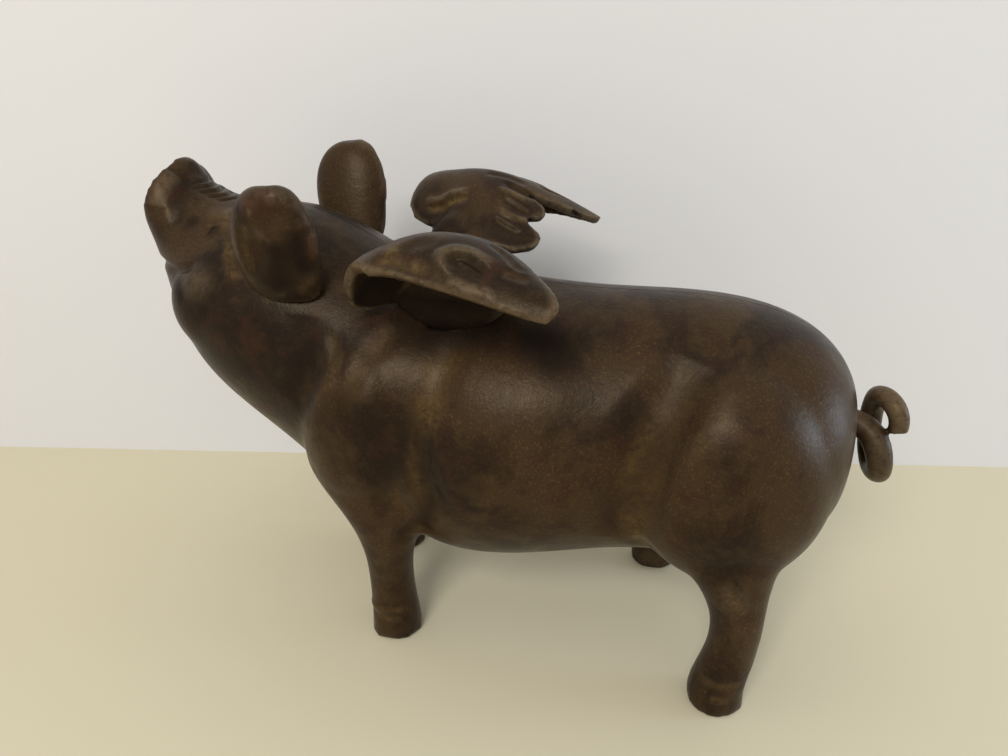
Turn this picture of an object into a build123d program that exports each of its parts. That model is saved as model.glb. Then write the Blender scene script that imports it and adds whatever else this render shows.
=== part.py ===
from build123d import *

import math
import os

# A cast metal pig with raised head, ears, wings and corkscrew tail, in millimetres.
# +X points from snout to tail, +Y to the pig's right, +Z up. The origin is on the ground,
# under the middle of the figure.

# Overall sizes of the figure
body_length = 280.0
back_height = 140.0
body_width = 100.0

# The figure's middle, between snout and tail: lengthwise shares below are counted from a point
# this share of the length in front of it
middle_share = 0.0080

# Castings
wall = 5.0
rump_wall = 9.0
overrun = 40.0

# Head details
nostril_radius = 3.0
nostril_depth = 4.0
nostril_spacing = 13.0
eye_radius = 3.0

# Legs
hoof_width = 20.0
hoof_cleft_width = 1.6
hoof_cleft_depth = 2.5
hoof_cleft_height = 9.0
hind_leg_lead = 25.0
front_leg_lead = 18.0

# Screws that hold the halves together
body_screw_radius = 2.5
body_screw_head_radius = 4.5
body_screw_head_height = 3.0
body_screw_reach = 14.0
screw_tip_room = 1.0
slot_width_share = 0.4
slot_depth_share = 0.45
head_share = 1.8
body_boss_radius = 7.0
screw_head_recess = 1.5
screw_clearance = 0.15
thread_clearance = 0.05

# Wings
wing_thickness = 5.5
wing_root_radius = 7.5
wing_neck_height = 11.5
wing_pocket_depth = 13.5
wing_rise = 7.0
wing_shift = 4.5
wing_screw_radius = 2.0
wing_screw_length = 16.0

# Ears
ear_height = 40.0
ear_thickness = 13.0
ear_peg_radius = 5.0
ear_rise = 8.0
ear_shift = 6.0
ear_screw_radius = 1.5
ear_screw_length = 13.0

# Screw heads and washers that lie inside
inner_boss_thickness = 6.0
washer_thickness = 1.0
seat_clearance = 0.1

# Tail
tail_root_radius = 4.5
tail_tang_radius = 3.5
tail_flange_radius = 8.0
tail_flange_thickness = 3.0
tail_tang_length = 14.0

# Torso, neck and head, from rump to snout: back point and belly point as shares of the length
# and the height, and half the width as a share of the width
torso_shares = [
    ((0.440, 0.728), (0.440, 0.610), 0.08),
    ((0.430, 0.795), (0.431, 0.510), 0.22),
    ((0.402, 0.868), (0.406, 0.400), 0.36),
    ((0.314, 0.950), (0.300, 0.310), 0.46),
    ((0.179, 0.968), (0.161, 0.280), 0.465),
    ((0.054, 0.975), (0.000, 0.220), 0.50),
    ((-0.071, 1.000), (-0.130, 0.285), 0.455),
    ((-0.161, 1.057), (-0.236, 0.415), 0.42),
    ((-0.236, 1.130), (-0.322, 0.545), 0.39),
    ((-0.300, 1.150), (-0.396, 0.670), 0.35),
    ((-0.354, 1.155), (-0.438, 0.800), 0.27),
    ((-0.400, 1.190), (-0.462, 0.950), 0.195),
    ((-0.436, 1.258), (-0.481, 1.085), 0.17),
]
# Muscles that swell out of the torso: centre as shares of length, width and height, and radii
# as shares of the same
haunch_shares = ((0.293, 0.250, 0.590), (0.122, 0.275, 0.285))
shoulder_shares = ((-0.147, 0.250, 0.630), (0.096, 0.245, 0.270))
cheek_shares = ((-0.352, 0.175, 0.905), (0.076, 0.175, 0.150))
muscle_follow_share = 0.5

# Legs from the ground up: centre as shares of length, width and height, and half sizes along
# X and Y as shares of the hoof's width
hind_leg_shares = [
    ((0.307, 0.400, 0.000), (0.500, 0.500)),
    ((0.307, 0.400, 0.057), (0.475, 0.475)),
    ((0.320, 0.395, 0.179), (0.425, 0.450)),
    ((0.320, 0.380, 0.271), (0.475, 0.500)),
    ((0.307, 0.350, 0.371), (0.750, 0.650)),
    ((0.293, 0.300, 0.500), (1.350, 0.850)),
    ((0.286, 0.260, 0.643), (1.500, 0.900)),
]
front_leg_shares = [
    ((-0.129, 0.290, 0.000), (0.500, 0.500)),
    ((-0.129, 0.290, 0.057), (0.465, 0.475)),
    ((-0.132, 0.290, 0.143), (0.425, 0.460)),
    ((-0.132, 0.300, 0.257), (0.460, 0.500)),
    ((-0.136, 0.310, 0.400), (0.800, 0.650)),
    ((-0.139, 0.290, 0.607), (1.200, 0.700)),
]

# Places on the body, as shares of length, width and height
body_screw_shares = [(0.320, 0.650), (0.030, 0.610), (-0.230, 0.800)]
body_screw_seat_shares = [0.450, 0.465, 0.345]
wing_seat_shares = (-0.050, 0.220, 0.870)
ear_seat_shares = (-0.230, 0.220, 1.010)
eye_shares = (-0.3600, 0.205, 1.095)

# Covert shell of the wing, from front to back: place along the length, then inner edge, crest
# and outer rim as shares of the width and the height, and its thickness as a share
covert_shares = [
    (-0.148, (0.360, 1.030), (0.415, 1.065), (0.470, 1.030), 0.75),
    (-0.130, (0.300, 1.030), (0.410, 1.105), (0.520, 1.030), 0.90),
    (-0.085, (0.200, 1.025), (0.410, 1.140), (0.580, 1.040), 1.00),
    (-0.029, (0.170, 1.020), (0.420, 1.150), (0.610, 1.040), 1.00),
    (0.016, (0.210, 1.020), (0.450, 1.140), (0.620, 1.045), 1.00),
]

# Feathers behind the coverts: root and tip as shares of length, width and height, then width
# and thickness as shares of the wing's thickness, and the lean of the blade in degrees
feather_shares = [
    ((-0.020, 0.530, 1.090), (0.112, 0.605, 1.040), 2.1, 1.1, -40),
    ((-0.020, 0.480, 1.120), (0.075, 0.560, 1.080), 1.8, 1.0, -30),
    ((-0.040, 0.350, 1.095), (0.046, 0.380, 1.075), 2.4, 0.9, 35),
    ((-0.040, 0.270, 1.050), (0.040, 0.290, 1.000), 2.4, 0.9, 45),
]
wing_root_shares = [
    ((1.0, 1.0), 0.0, 0.0),
    ((1.2, 0.95), 0.3, 0.4),
    ((1.7, 1.1), 0.9, 1.0),
]
feather_outline_shares = [(0.0, 0.85), (0.4, 1.0), (0.8, 0.85), (1.0, 0.35)]

# Ear from base to tip: centre as shares of length, width and ear height above the seat, then
# half sizes as shares of the ear's height and thickness
ear_shares = [
    ((-0.226, 0.310, -0.230), (0.24, 0.40)),
    ((-0.230, 0.340, -0.030), (0.34, 0.55)),
    ((-0.235, 0.365, 0.270), (0.37, 0.55)),
    ((-0.236, 0.385, 0.550), (0.33, 0.48)),
    ((-0.236, 0.395, 0.700), (0.23, 0.36)),
    ((-0.236, 0.400, 0.770), (0.10, 0.18)),
]
ear_hollow_shares = ((-0.250, 0.530, 0.200), (0.25, 0.95, 0.36))

# Centre line of the tail's corkscrew: shares of length, width and height, then its radius as a
# share of the root's
tail_shares = [
    ((0.4400, 0.000, 0.668), 1.00),
    ((0.4460, -0.003, 0.667), 1.00),
    ((0.4590, -0.020, 0.656), 1.00),
    ((0.4740, -0.055, 0.603), 0.97),
    ((0.4790, -0.030, 0.552), 0.94),
    ((0.4780, 0.050, 0.545), 0.91),
    ((0.4730, 0.105, 0.614), 0.87),
    ((0.4710, 0.090, 0.688), 0.84),
    ((0.4720, 0.030, 0.733), 0.81),
    ((0.4810, -0.025, 0.730), 0.78),
    ((0.4890, -0.045, 0.697), 0.74),
    ((0.4910, -0.045, 0.664), 0.66),
]


def place(shares, side=1):
    """A point of the figure from shares of its length, width and height."""
    return Vector((shares[0] - middle_share) * body_length, side * shares[1] * body_width,
                  shares[2] * back_height)


def torso(first_inset=0.0, inset=0.0, first=0, last=len(torso_shares), ruled=False):
    """Torso, neck and head through upright ovals, drawn in by an inset."""
    drawn_in = first_inset
    with BuildPart() as form:
        for back_share, belly_share, width_share in torso_shares[first:last]:
            back = place((back_share[0], 0, back_share[1]))
            belly = place((belly_share[0], 0, belly_share[1]))
            up = back - belly
            across = Plane(origin=(back + belly) / 2, x_dir=(0, 1, 0), z_dir=(up.Z, 0, -up.X))
            with BuildSketch(across):
                Ellipse(width_share * body_width - drawn_in, up.length / 2 - drawn_in)
            drawn_in = inset
        loft(ruled=ruled)
    return form.part


def leg(shares, side, lead):
    """A leg through level ovals, from its hoof up into the torso."""
    with BuildPart() as form:
        for centre_share, size_share in shares:
            centre = place(centre_share, side) - Vector(lead, 0, 0)
            with BuildSketch(Plane(origin=centre)):
                Ellipse(size_share[0] * hoof_width, size_share[1] * hoof_width)
        loft()
    return form.part


def ball(centre, radii):
    """A ball stretched to three radii."""
    with BuildPart() as form:
        Sphere(radii.Z)
        scale(by=(radii.X / radii.Z, radii.Y / radii.Z, 1))
    return form.part.moved(Location(centre))


def muscle(shares, side, lead=0.0):
    """A swelling of the body, round a centre that follows a share of the leg's lead."""
    length_share, width_share, height_share = shares[1]
    radii = Vector(length_share * body_length, width_share * body_width,
                   height_share * back_height)
    return ball(place(shares[0], side) - Vector(lead * muscle_follow_share, 0, 0), radii)


def rod(radius, start, end):
    """A round bar between two points."""
    along = Vector(*end) - Vector(*start)
    with BuildPart() as form:
        with BuildSketch(Plane(origin=start, z_dir=along)):
            Circle(radius)
        extrude(amount=along.length)
    return form.part


def snout_disc():
    """The plane of the snout's flat end, facing forward and up."""
    back_share, belly_share, width_share = torso_shares[-1]
    back = place((back_share[0], 0, back_share[1]))
    belly = place((belly_share[0], 0, belly_share[1]))
    up = back - belly
    return Plane(origin=(back + belly) / 2, x_dir=(0, 1, 0), z_dir=(-up.Z, 0, up.X))


# Screw places, worked out from the shares
body_screw_places = [place((x_share, 0, z_share)) for x_share, z_share in body_screw_shares]
body_screw_seats = [share * body_width - screw_head_recess for share in body_screw_seat_shares]
washer_radius = ear_peg_radius - seat_clearance
spot_radius = washer_radius + washer_thickness
tail_seat = place(tail_shares[0][0]) - Vector(tail_tang_length, 0, 0)


def hollow():
    """The space inside the body, cut back round every boss."""
    with BuildPart() as space:
        add(torso(rump_wall, wall, 2, -2, ruled=True))
        for centre in body_screw_places:
            add(rod(body_boss_radius, centre - Vector(0, body_width, 0),
                    centre + Vector(0, body_width, 0)), mode=Mode.SUBTRACT)
        for side in (-1, 1):
            wing_seat = place(wing_seat_shares, side)
            wing_boss = wing_seat - Vector(0, 0, inner_boss_thickness)
            add(rod(wing_root_radius + wall / 2, wing_boss, wing_boss + Vector(0, 0, overrun)),
                mode=Mode.SUBTRACT)
            add(rod(spot_radius, wing_boss - Vector(0, 0, inner_boss_thickness), wing_boss))
            ear_seat = place(ear_seat_shares, side)
            ear_boss = ear_seat - Vector(0, side * inner_boss_thickness, 0)
            add(rod(ear_peg_radius + wall / 2, ear_boss, ear_boss + Vector(0, side * overrun, 0)),
                mode=Mode.SUBTRACT)
        add(rod(tail_flange_radius + wall / 2, tail_seat, tail_seat + Vector(overrun, 0, 0)),
            mode=Mode.SUBTRACT)
    return space.part


def body_half(side):
    """One cast half of the body with its two legs, split at the middle plane."""
    hind_lead = hind_leg_lead if side > 0 else 0.0
    front_lead = front_leg_lead if side > 0 else 0.0
    with BuildPart() as half:
        add(torso())
        add(muscle(haunch_shares, side, hind_lead))
        add(muscle(shoulder_shares, side, front_lead))
        add(muscle(cheek_shares, side))
        add(leg(hind_leg_shares, side, hind_lead))
        add(leg(front_leg_shares, side, front_lead))
        split(bisect_by=Plane.XZ, keep=Keep.TOP if side < 0 else Keep.BOTTOM)
        add(body_space, mode=Mode.SUBTRACT)

        # Screw holes: clearance and a sunk seat on the right, tapped bosses on the left
        for centre, seat in zip(body_screw_places, body_screw_seats):
            outward = Vector(0, 1, 0)
            if side > 0:
                seat_point = centre + outward * seat
                add(rod(body_screw_radius + screw_clearance, centre, seat_point), mode=Mode.SUBTRACT)
                add(rod(body_screw_head_radius + screw_clearance, seat_point,
                        seat_point + outward * overrun), mode=Mode.SUBTRACT)
            else:
                add(rod(body_screw_radius + thread_clearance, centre,
                        centre - outward * (body_screw_reach + screw_tip_room)), mode=Mode.SUBTRACT)

        # Socket of the wing's root in the back, and the hole of its screw
        seat = place(wing_seat_shares, side)
        up = Vector(0, 0, 1)
        add(rod(wing_root_radius + seat_clearance, seat, seat + up * overrun), mode=Mode.SUBTRACT)
        add(rod(wing_screw_radius + screw_clearance, seat - up * inner_boss_thickness, seat),
            mode=Mode.SUBTRACT)

        # Socket of the ear's peg in the head, and the hole of its screw
        seat = place(ear_seat_shares, side)
        out = Vector(0, side, 0)
        add(rod(ear_peg_radius + seat_clearance, seat, seat + out * overrun), mode=Mode.SUBTRACT)
        add(rod(ear_screw_radius + screw_clearance, seat - out * inner_boss_thickness, seat),
            mode=Mode.SUBTRACT)

        # Bore of the tail's tang in the seam
        add(rod(tail_tang_radius + seat_clearance, tail_seat, tail_seat + Vector(overrun, 0, 0)),
            mode=Mode.SUBTRACT)

        # Nostril in the snout's disc, and the pit of the eye
        disc = snout_disc()
        nostril = disc.from_local_coords(Vector(side * nostril_spacing / 2, 0, 0))
        add(rod(nostril_radius, nostril - disc.z_dir * nostril_depth, nostril + disc.z_dir * overrun),
            mode=Mode.SUBTRACT)
        with Locations(place(eye_shares, side)):
            Sphere(eye_radius, mode=Mode.SUBTRACT)

        # Cleft in the front of each hoof
        for shares, lead in ((hind_leg_shares, hind_lead), (front_leg_shares, front_lead)):
            toe = place(shares[0][0], side) - Vector(lead + shares[0][1][0] * hoof_width, 0, 0)
            with Locations(toe):
                Box(hoof_cleft_depth * 2, hoof_cleft_width, hoof_cleft_height * 2,
                    mode=Mode.SUBTRACT)
    return half.part


def ear(side):
    """A thick ear: a pad with a scooped outer face, on a peg that enters the head."""
    seat = place(ear_seat_shares, side)
    rise = ear_rise if side > 0 else 0.0
    shift = ear_shift if side > 0 else 0.0
    move = Vector(-shift, 0, seat.Z + rise)
    with BuildPart() as pad:
        for (x_share, y_share, z_share), size_share in ear_shares:
            centre = place((x_share, y_share, 0), side) + move + Vector(0, 0, z_share * ear_height)
            with BuildSketch(Plane(origin=centre)):
                Ellipse(size_share[0] * ear_height, size_share[1] * ear_thickness)
        loft()
        (x_share, y_share, z_share), size_share = ear_hollow_shares
        scoop = place((x_share, y_share, 0), side) + move + Vector(0, 0, z_share * ear_height)
        radii = Vector(size_share[0] * ear_height, size_share[1] * ear_thickness,
                       size_share[2] * ear_height)
        add(ball(scoop, radii), mode=Mode.SUBTRACT)
        add(torso(), mode=Mode.SUBTRACT)
        out = Vector(0, side, 0)
        pad_centre = Vector(seat.X, side * ear_shares[1][0][1] * body_width, seat.Z)
        add(rod(ear_peg_radius, seat, pad_centre))
        add(rod(ear_screw_radius + thread_clearance, seat, seat + out * ear_screw_length),
            mode=Mode.SUBTRACT)
    return pad.part


def wing_move(side):
    """How far a wing stands from its mirrored place: the right one is set higher and forward."""
    return Vector(-wing_shift, 0, wing_rise) if side > 0 else Vector(0, 0, 0)


def arch(x_share, point_shares, thickness, side):
    """Upper and lower arc points of a covert section, in the section's own plane."""
    upper = [place((x_share, *point_share), side) + wing_move(side)
             for point_share in point_shares]
    upper = [Vector(point.Y, point.Z) for point in upper]
    curve = Edge.make_three_point_arc(*upper)
    inward_share = 1 - thickness / curve.radius
    lower = [curve.arc_center + (point - curve.arc_center) * inward_share for point in upper]
    return upper, lower


def feather(root_share, tip_share, width_share, thickness_share, lean, side):
    """A blade-shaped feather through flat ovals from root to tip."""
    root = place(root_share, side) + wing_move(side)
    tip = place(tip_share, side) + wing_move(side)
    across = Vector(0, side * math.cos(math.radians(lean)), math.sin(math.radians(lean)))
    with BuildPart() as blade:
        for along_share, fullness_share in feather_outline_shares:
            level = Plane(origin=root + (tip - root) * along_share, x_dir=across, z_dir=tip - root)
            with BuildSketch(level):
                Ellipse(width_share * wing_thickness * fullness_share,
                        thickness_share * wing_thickness / 2 * fullness_share)
        loft()
    return blade.part


def wing_root(side, foot):
    """The neck of the wing: from a round foot it widens into the shell."""
    with BuildPart() as neck:
        for out_share, lean_share, rise_share in wing_root_shares:
            lean = Vector(0, side * lean_share * wing_root_radius, 0) + wing_move(side) * rise_share
            level = foot + lean + Vector(0, 0, rise_share * wing_neck_height)
            with BuildSketch(Plane(origin=level)):
                Ellipse(out_share[0] * wing_root_radius, out_share[1] * wing_root_radius)
        loft()
    return neck.part


def wing(side):
    """A wing: arched covert shell, feathers fused behind it, and a root that enters the back."""
    seat = place(wing_seat_shares, side)
    up = Vector(0, 0, 1)
    with BuildPart() as form:
        for x_share, inner, crest, rim, thickness_share in covert_shares:
            upper, lower = arch(x_share, (inner, crest, rim), thickness_share * wing_thickness, side)
            section = Plane.YZ.offset(place((x_share, 0, 0)).X + wing_move(side).X)
            with BuildSketch(section):
                with BuildLine():
                    top = ThreePointArc(*upper)
                    under = ThreePointArc(*lower)
                    Line(top @ 0, under @ 0)
                    Line(top @ 1, under @ 1)
                make_face()
        loft()
        for root_share, tip_share, width_share, thickness_share, lean in feather_shares:
            add(feather(root_share, tip_share, width_share, thickness_share, lean, side))
        add(rod(wing_root_radius, seat, seat + up * wing_pocket_depth))
        add(wing_root(side, seat + up * wing_pocket_depth))
        add(rod(wing_screw_radius + thread_clearance, seat, seat + up * wing_screw_length),
            mode=Mode.SUBTRACT)
    return form.part


def tail():
    """The corkscrew tail with its straight tang and the flange inside the seam."""
    points = [place(point_share) for point_share, radius_share in tail_shares]
    ahead = points[1:] + points[-1:]
    behind = [tail_seat] + points[:-1]
    across = Vector(0, 0, 1)
    with BuildPart() as form:
        for index, (point_share, radius_share) in enumerate(tail_shares):
            along = Vector(1, 0, 0) if index == 0 else (ahead[index] - behind[index]).normalized()
            across = (across - along * across.dot(along)).normalized()
            with BuildSketch(Plane(origin=points[index], x_dir=across, z_dir=along)):
                Circle(radius_share * tail_root_radius)
        loft()
        add(rod(tail_tang_radius, tail_seat, points[0] + Vector(tail_tang_radius, 0, 0)))
        add(rod(tail_flange_radius, tail_seat - Vector(tail_flange_thickness, 0, 0), tail_seat))
    return form.part


def screw(radius, head_radius, head_height, seat, tip):
    """A cheese-head screw from under its head to its tip."""
    along = (tip - seat).normalized()
    with BuildPart() as form:
        add(rod(radius, seat, tip))
        add(rod(head_radius, seat - along * head_height, seat))
        slot = Plane(origin=seat - along * head_height, z_dir=along)
        with BuildSketch(slot):
            Rectangle(head_radius * 2, head_height * slot_width_share)
        extrude(amount=head_height * slot_depth_share, mode=Mode.SUBTRACT)
    return form.part


def washer(outer_radius, bore_radius, seat, along):
    """A plain washer that lies on a seat and reaches away from it."""
    with BuildPart() as form:
        with BuildSketch(Plane(origin=seat, z_dir=along)):
            Circle(outer_radius)
            Circle(bore_radius, mode=Mode.SUBTRACT)
        extrude(amount=washer_thickness)
    return form.part


def keep(shape, name):
    """Label a finished piece and write it."""
    shape.label = name
    export_step(shape, f"parts/{name}.step")
    print(name, round(shape.volume), shape.is_valid, len(shape.solids()))


def group(shapes, name):
    """Keep like fasteners as separate solids of one node."""
    keep(Compound(children=shapes), name)


os.makedirs("parts", exist_ok=True)
body_space = hollow()

keep(body_half(-1), "body_left_half")
keep(body_half(1), "body_right_half")
keep(ear(-1), "left_ear")
keep(ear(1), "right_ear")
keep(wing(-1), "left_wing")
keep(wing(1), "right_wing")
keep(tail(), "tail")

group([screw(body_screw_radius, body_screw_head_radius, body_screw_head_height,
             centre + Vector(0, seat, 0), centre - Vector(0, body_screw_reach, 0))
       for centre, seat in zip(body_screw_places, body_screw_seats)], "body_screws")

wing_fixings = []
wing_washers = []
ear_fixings = []
ear_washers = []
for side in (-1, 1):
    down = Vector(0, 0, -1)
    boss = place(wing_seat_shares, side) + down * inner_boss_thickness
    under_head = boss + down * washer_thickness
    wing_washers.append(washer(washer_radius, wing_screw_radius + screw_clearance, boss, down))
    wing_fixings.append(screw(wing_screw_radius, wing_screw_radius * head_share,
                              wing_screw_radius, under_head, under_head - down * wing_screw_length))
    inward = Vector(0, -side, 0)
    boss = place(ear_seat_shares, side) + inward * inner_boss_thickness
    under_head = boss + inward * washer_thickness
    ear_washers.append(washer(washer_radius, ear_screw_radius + screw_clearance, boss, inward))
    ear_fixings.append(screw(ear_screw_radius, ear_screw_radius * head_share,
                             ear_screw_radius, under_head,
                             under_head - inward * ear_screw_length))
group(wing_fixings, "wing_screws")
group(wing_washers, "wing_washers")
group(ear_fixings, "ear_screws")
group(ear_washers, "ear_washers")
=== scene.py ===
import math

import bpy
import numpy as np
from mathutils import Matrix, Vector
from mathutils.bvhtree import BVHTree


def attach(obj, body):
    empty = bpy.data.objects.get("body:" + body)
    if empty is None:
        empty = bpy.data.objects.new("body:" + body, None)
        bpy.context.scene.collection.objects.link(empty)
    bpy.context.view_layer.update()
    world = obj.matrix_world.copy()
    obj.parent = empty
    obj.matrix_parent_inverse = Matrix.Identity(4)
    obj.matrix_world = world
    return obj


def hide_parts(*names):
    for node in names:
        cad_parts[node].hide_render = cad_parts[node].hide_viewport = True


bl_info = {
    "name": "Winged Pig Figurine",
    "version": (1, 0, 0),
    "blender": (4, 5, 0),
    "location": "3D View > Sidebar > Pig",
    "description": "Builds the castings of a winged pig figurine round its packed frame",
    "category": "Object",
}

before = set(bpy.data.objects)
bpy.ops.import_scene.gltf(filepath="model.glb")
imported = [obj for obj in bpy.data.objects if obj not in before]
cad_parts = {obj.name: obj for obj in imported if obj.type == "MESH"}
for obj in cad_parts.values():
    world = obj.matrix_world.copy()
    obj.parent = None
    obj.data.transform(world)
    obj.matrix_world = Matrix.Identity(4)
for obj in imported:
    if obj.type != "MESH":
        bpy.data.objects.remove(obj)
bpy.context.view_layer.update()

# Lines below are written in millimetres and scaled by this
MM = 0.001

# Sides of the figure, as the sign of Y
LEFT = -1
RIGHT = 1


# Sizes and colours a user would change


class PigSizes(bpy.types.PropertyGroup):
    """Fineness of the castings and depth of their carving."""

    body_grain: bpy.props.FloatProperty(
        name="Body grain", description="Cell size that the body's surface is laid in",
        default=0.0015, unit="LENGTH", precision=5)
    detail_grain: bpy.props.FloatProperty(
        name="Detail grain", description="Cell size of the ears, wings and tail",
        default=0.0008, unit="LENGTH", precision=5)
    carving: bpy.props.FloatProperty(
        name="Carving", description="Share of the full depth of creases and ridges",
        default=1.0, subtype="FACTOR", min=0.0, max=1.5)


class PigColours(bpy.types.PropertyGroup):
    """Colours of the patina, the screws and the stage."""

    brown: bpy.props.FloatVectorProperty(
        name="Brown", description="Main patina of the castings",
        default=(0.037, 0.021, 0.0095), subtype="COLOR")
    umber: bpy.props.FloatVectorProperty(
        name="Umber", description="Dark cloudy patches of the patina",
        default=(0.011, 0.0065, 0.0045), subtype="COLOR")
    rust: bpy.props.FloatVectorProperty(
        name="Rust", description="Reddish patches of the patina",
        default=(0.042, 0.0165, 0.009), subtype="COLOR")
    # Painted shade: nearly black colour laid where shade falls, under the wings, in creases and
    # grooves, in the mouth, the eye pit and the ear's hollow; under the wings it is painted shade
    # over dark patina
    soot: bpy.props.FloatVectorProperty(
        name="Soot", description="Nearly black patina in shaded places",
        default=(0.012, 0.008, 0.006), subtype="COLOR")
    ochre: bpy.props.FloatVectorProperty(
        name="Ochre", description="Rubbed powder in creases",
        default=(0.110, 0.068, 0.023), subtype="COLOR")
    # Bare rubbed metal on edges, and also painted highlights on the cheek, the snout's rim and a
    # glint on the ear
    bronze_and_highlight: bpy.props.FloatVectorProperty(
        name="Bronze", description="Bare metal where edges are rubbed",
        default=(0.260, 0.190, 0.110), subtype="COLOR")
    zinc: bpy.props.FloatVectorProperty(
        name="Zinc", description="Plating of screws and washers",
        default=(0.420, 0.400, 0.370), subtype="COLOR")
    table: bpy.props.FloatVectorProperty(
        name="Table", description="Floor that the figure stands on",
        default=(0.660, 0.600, 0.430), subtype="COLOR")
    wall: bpy.props.FloatVectorProperty(
        name="Wall", description="Pale backdrop behind the figure",
        default=(0.690, 0.685, 0.690), subtype="COLOR")


# Helpers for meshes


# How near to the middle plane a vertex lies on the seam, and how near two vertices are one
SEAM_REACH = 1e-6
WELD_REACH = 1e-5
# The head's middle line seen from the side, in millimetres: two places along the length and
# their heights. Outer faces look away from it.
HEAD_LENGTHS = np.array([-130, -60])
HEAD_HEIGHTS = np.array([158, 118])


def deselect_all():
    bpy.ops.object.select_all(action="DESELECT")


def take_up(piece):
    """Make one object the only selected and the active one."""
    deselect_all()
    piece.select_set(True)
    bpy.context.view_layer.objects.active = piece


def finish_with(piece, kind, **settings):
    """Add a modifier and apply it."""
    modifier = piece.modifiers.new(kind.title(), kind)
    for key, value in settings.items():
        setattr(modifier, key, value)
    take_up(piece)
    bpy.ops.object.modifier_apply(modifier=modifier.name)


def cast_from(name, nodes, lap=0.0):
    """A mesh from copies of CAD nodes. Halves that meet at the middle plane may lap a little."""
    deselect_all()
    copies = []
    for node in nodes:
        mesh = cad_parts[node].data.copy()
        mesh.materials.clear()
        if lap:
            places = np.empty(len(mesh.vertices) * 3)
            mesh.vertices.foreach_get("co", places)
            places = places.reshape(-1, 3)
            at_seam = np.abs(places[:, 1]) < SEAM_REACH
            places[at_seam, 1] = -lap * np.sign(places[:, 1].mean())
            mesh.vertices.foreach_set("co", places.ravel())
        piece = bpy.data.objects.new(name, mesh)
        bpy.context.scene.collection.objects.link(piece)
        piece.select_set(True)
        copies.append(piece)
    bpy.context.view_layer.objects.active = copies[0]
    if len(copies) > 1:
        bpy.ops.object.join()
    piece = bpy.context.view_layer.objects.active
    piece.name = name
    take_up(piece)
    bpy.ops.object.mode_set(mode="EDIT")
    bpy.ops.mesh.select_all(action="SELECT")
    bpy.ops.mesh.remove_doubles(threshold=WELD_REACH)
    bpy.ops.object.mode_set(mode="OBJECT")
    return piece


def lay_in_grain(piece, grain, rounds):
    """Relay a casting in even cells and round its joins off, as clay smoothed by hand."""
    finish_with(piece, "REMESH", mode="VOXEL", voxel_size=grain, use_smooth_shade=True)
    finish_with(piece, "SMOOTH", factor=0.5, iterations=rounds)


def refine(piece, chosen, rounds):
    """Split the outer cells of one region in four and even them out."""
    mesh = piece.data
    centres = np.empty(len(mesh.polygons) * 3)
    mesh.polygons.foreach_get("center", centres)
    centres = centres.reshape(-1, 3)
    facing = np.empty(len(mesh.polygons) * 3)
    mesh.polygons.foreach_get("normal", facing)
    facing = facing.reshape(-1, 3)
    heights = np.interp(centres[:, 0], HEAD_LENGTHS * MM, HEAD_HEIGHTS * MM)
    middle = np.stack([centres[:, 0], np.zeros(len(centres)), heights], 1)
    outer = ((centres - middle) * facing).sum(1) > 0
    take_up(piece)
    bpy.ops.object.mode_set(mode="EDIT")
    bpy.ops.mesh.select_mode(type="FACE")
    bpy.ops.mesh.select_all(action="DESELECT")
    bpy.ops.object.mode_set(mode="OBJECT")
    mesh.polygons.foreach_set("select", chosen(centres) & outer)
    bpy.ops.object.mode_set(mode="EDIT")
    bpy.ops.mesh.subdivide(number_cuts=1)
    bpy.ops.mesh.vertices_smooth(factor=0.5, repeat=rounds)
    bpy.ops.object.mode_set(mode="OBJECT")


def through(points, step):
    """Points of a smooth line through a few points, about one step apart."""
    points = np.array(points, float)
    if len(points) == 1:
        return points
    ends = np.vstack([2 * points[0] - points[1], points, 2 * points[-1] - points[-2]])
    line = []
    for first in range(len(points) - 1):
        a, b, c, d = ends[first:first + 4]
        count = max(2, int(np.linalg.norm(c - b) / step))
        for share in np.arange(count) / count:
            line.append(0.5 * (2 * b + (c - a) * share + (2 * a - 5 * b + 4 * c - d) * share ** 2
                               + (3 * b - a - 3 * c + d) * share ** 3))
    line.append(points[-1])
    return np.array(line)


# Widest ring, in millimetres, whose normals give the way out of the surface at a spot
WAY_REACH = 4
# Fine and coarse relief: rounds of averaging, then the gains of hollows and of edges
RELIEF_SCALES = [(2, 9.0, 7.0), (14, 16.0, 10.0)]
# How much relief passes without a mark
HOLLOW_FLOOR = 0.3
EDGE_FLOOR = 0.8


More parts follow.
